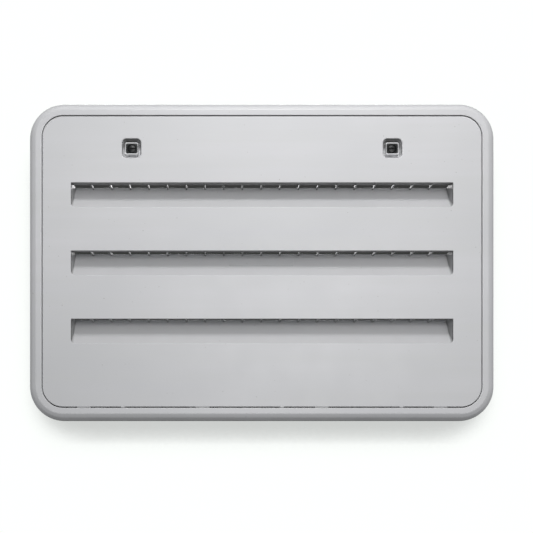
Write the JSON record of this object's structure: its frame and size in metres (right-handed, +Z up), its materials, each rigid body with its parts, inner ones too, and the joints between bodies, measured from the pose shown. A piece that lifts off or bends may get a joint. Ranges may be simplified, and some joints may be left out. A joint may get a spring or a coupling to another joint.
{
  "type": "refrigerator side vent",
  "caption": "Rectangular louvred vent door in a rounded wall frame, hung on bottom tongues and held by quarter-turn latches.",
  "frame": {"origin": "middle of the bottom ledge's back face, on the wall's outer skin", "axes": "+X along the long side, to the right as seen from outside; +Y into the wall; +Z up the wall"},
  "size_m": [0.61, 0.0327, 0.4163],
  "materials": {
    "white_abs": "fine-textured moulded ABS, pale cool grey-white",
    "black_plastic": "satin black nylon",
    "zinc_steel": "zinc-plated steel"
  },
  "bodies": {
    "frame": {"frame": "white_abs"},
    "door": {"door_panel": "white_abs", "left_latch_bezel": "black_plastic", "left_latch_retainer": "zinc_steel", "left_latch_washer": "zinc_steel", "right_latch_bezel": "black_plastic", "right_latch_retainer": "zinc_steel", "right_latch_washer": "zinc_steel"},
    "left_latch": {"left_latch_knob": "black_plastic", "left_latch_cam": "black_plastic", "left_latch_screw": "zinc_steel"},
    "right_latch": {"right_latch_knob": "black_plastic", "right_latch_cam": "black_plastic", "right_latch_screw": "zinc_steel"}
  },
  "joints": [
    {"name": "door_tilt", "type": "hinge", "parent": "frame", "child": "door", "pos_m": [0, -0.0127, -0.0076], "axis": [1, 0, 0], "range_deg": [0, 40]},
    {"name": "left_latch_turn", "type": "hinge", "parent": "door", "child": "left_latch", "pos_m": [-0.1703, -0.008, 0.33035], "axis": [0, 1, 0], "range_deg": [0, 90]},
    {"name": "right_latch_turn", "type": "hinge", "parent": "door", "child": "right_latch", "pos_m": [0.1703, -0.008, 0.33035], "axis": [0, 1, 0], "range_deg": [0, 90]}
  ]
}
